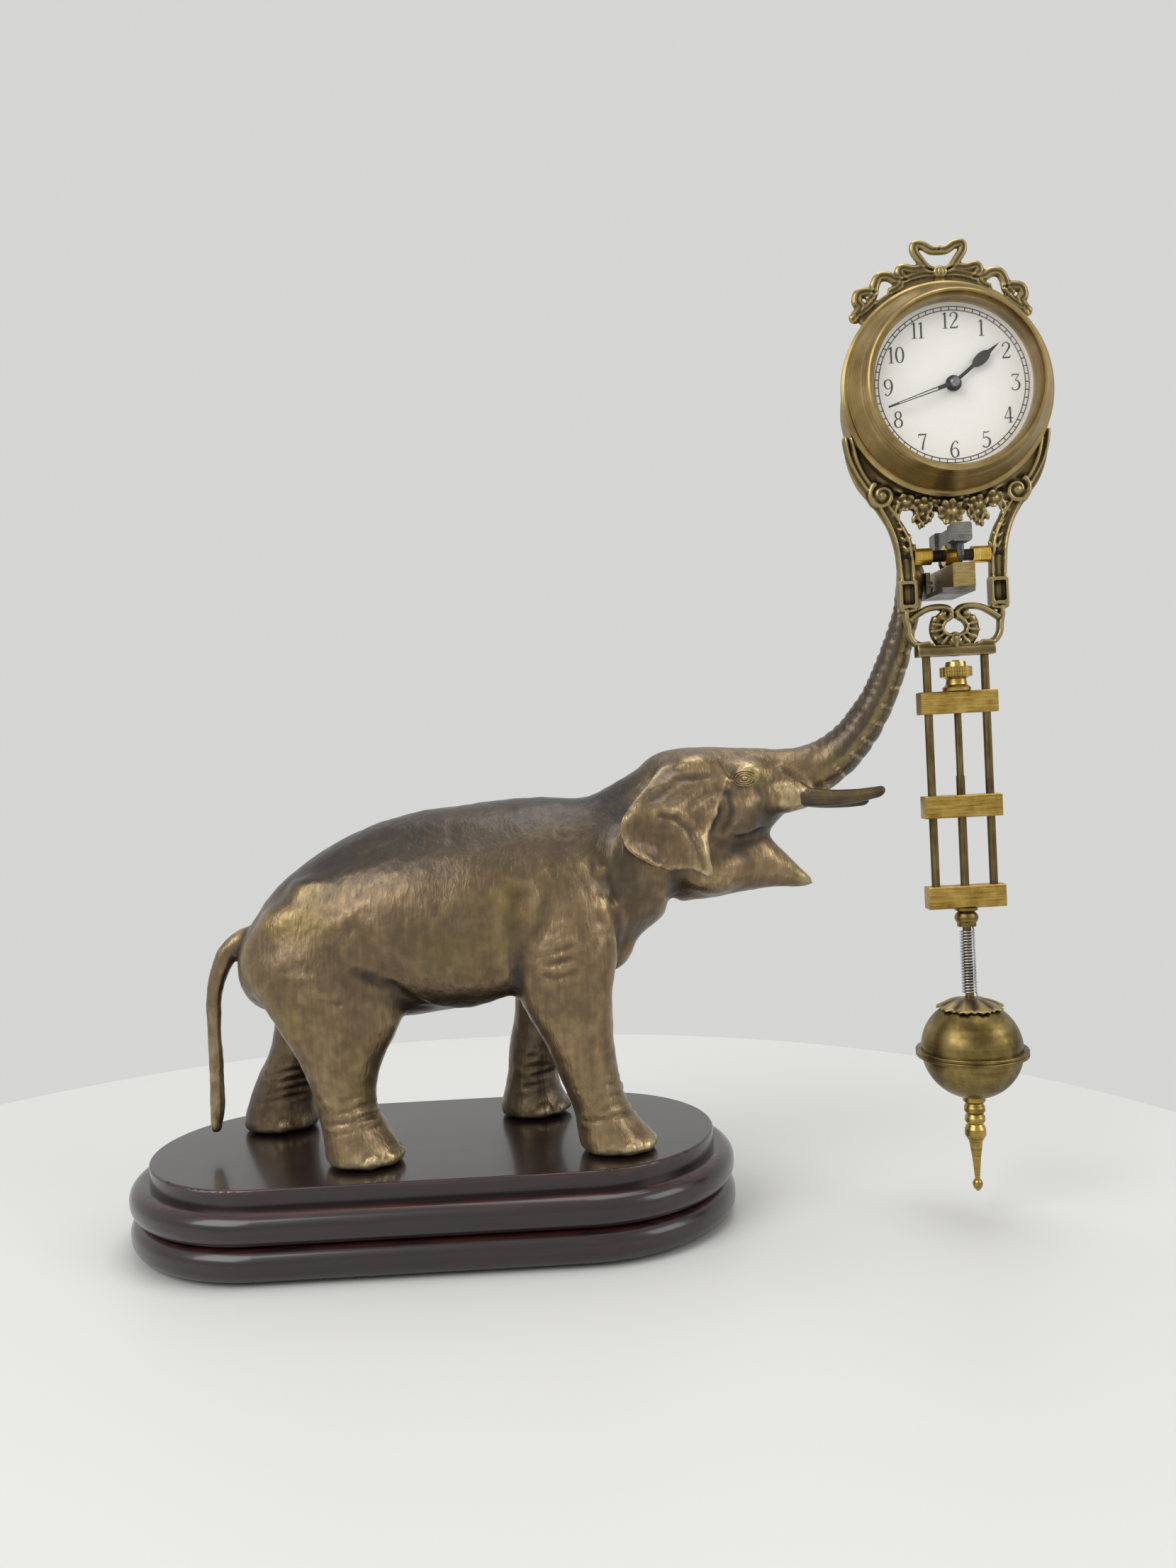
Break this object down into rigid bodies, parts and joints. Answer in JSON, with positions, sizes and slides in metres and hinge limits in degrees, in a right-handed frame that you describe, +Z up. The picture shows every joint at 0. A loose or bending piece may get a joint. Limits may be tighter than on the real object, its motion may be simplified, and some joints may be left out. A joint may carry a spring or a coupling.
{
  "type": "mystery clock",
  "caption": "Standing elephant figure on a rounded wood base whose raised trunk carries a brass clock that swings on pointed pins below a ribbon crest.",
  "frame": {"origin": "centre of the base's underside", "axes": "+X along the base towards the hanging clock, -Y towards the viewer of the dial, +Z up"},
  "size_m": [0.333, 0.108, 0.3327],
  "materials": {
    "lacquered_wood": "gloss lacquer",
    "felt": "felt",
    "bronze": "patinated bronze",
    "antique_brass": "antiqued brass",
    "bright_brass": "polished brass",
    "brushed_brass": "brushed brass",
    "steel": "brushed steel",
    "spring_steel": "bright spring wire",
    "dark_steel": "blued steel",
    "dial_white": "matt silvered white",
    "glass": "clear"
  },
  "bodies": {
    "stand": {"felt_pad": "felt", "base_lower_tier": "lacquered_wood", "base_upper_tier": "lacquered_wood", "base_top_plate": "lacquered_wood", "foot_screws": "steel", "elephant_body": "bronze", "trunk": "bronze", "right_ear": "bronze", "left_ear": "bronze", "right_tusk": "bronze", "left_tusk": "bronze", "tail": "bronze", "trunk_bracket": "steel", "bracket_screw": "steel", "cup_block": "bright_brass"},
    "carrier": {"pin_carrier": "steel", "carrier_bush": "bright_brass", "front_pin": "dark_steel", "rear_pin": "dark_steel"},
    "clock": {"cross_shaft": "dark_steel", "shaft_collars": "bright_brass", "frame_casting": "antique_brass", "crest_casting": "antique_brass", "drum_case": "antique_brass", "back_cover": "antique_brass", "bezel": "brushed_brass", "glass": "glass", "dial": "dial_white", "front_plate": "brushed_brass", "rear_plate": "brushed_brass", "plate_pillars": "brushed_brass", "lyre_casting": "antique_brass", "outer_rods": "brushed_brass", "top_bar": "brushed_brass", "middle_bar": "brushed_brass", "bottom_bar": "brushed_brass", "neck_bush": "brushed_brass", "spring": "spring_steel"},
    "minute": {"centre_arbor": "steel", "minute_hand": "dark_steel", "hand_nut": "steel", "set_knob": "bright_brass"},
    "reduction": {"minute_wheel": "bright_brass"},
    "hour": {"hour_wheel": "bright_brass", "hour_hand": "dark_steel"},
    "barrel": {"mainspring_barrel": "bright_brass"},
    "key": {"winding_key": "brushed_brass"},
    "balance": {"balance_wheel": "bright_brass"},
    "bob": {"centre_rod": "brushed_brass", "leaf_cap": "antique_brass", "ball_upper": "antique_brass", "ball_lower": "antique_brass", "finial": "brushed_brass"},
    "nut": {"rating_nut": "brushed_brass"}
  },
  "joints": [
    {"name": "swing", "type": "hinge", "parent": "stand", "child": "carrier", "pos_m": [0.189, -0.026, 0.222], "axis": [0, 1, 0], "range_deg": [-6, 6]},
    {"name": "tilt", "type": "hinge", "parent": "carrier", "child": "clock", "pos_m": [0.189, -0.026, 0.2272], "axis": [1, 0, 0], "range_deg": [-2.5, 2.5]},
    {"name": "barrel_turn", "type": "hinge", "parent": "clock", "child": "barrel", "pos_m": [0.189, -0.026, 0.2704], "axis": [0, 1, 0], "continuous": true},
    {"name": "minute_turn", "type": "hinge", "parent": "clock", "child": "minute", "pos_m": [0.189, -0.026, 0.2824], "axis": [0, 1, 0], "continuous": true},
    {"name": "reduction_turn", "type": "hinge", "parent": "clock", "child": "reduction", "pos_m": [0.199, -0.026, 0.2824], "axis": [0, 1, 0], "continuous": true},
    {"name": "hour_turn", "type": "hinge", "parent": "clock", "child": "hour", "pos_m": [0.189, -0.026, 0.2824], "axis": [0, 1, 0], "continuous": true},
    {"name": "key_turn", "type": "hinge", "parent": "clock", "child": "key", "pos_m": [0.189, -0.026, 0.2704], "axis": [0, 1, 0], "continuous": true},
    {"name": "balance_swing", "type": "hinge", "parent": "clock", "child": "balance", "pos_m": [0.189, -0.026, 0.2954], "axis": [0, 1, 0], "range_deg": [-135, 135]},
    {"name": "bob_slide", "type": "slide", "parent": "clock", "child": "bob", "axis": [0, 0, 1], "range_m": [0, 0.003], "deforming": ["spring"]},
    {"name": "nut_turn", "type": "hinge", "parent": "clock", "child": "nut", "pos_m": [0.189, -0.026, 0.181], "axis": [0, 0, 1], "range_deg": [0, 2410]}
  ],
  "couplings": [
    {"joint": "minute_turn", "follows": "barrel_turn", "ratio": -4},
    {"joint": "hour_turn", "follows": "barrel_turn", "ratio": -0.33333},
    {"joint": "reduction_turn", "follows": "barrel_turn", "ratio": 1.3333},
    {"joint": "nut_turn", "follows": "bob_slide", "rad_per_m": 13963}
  ]
}
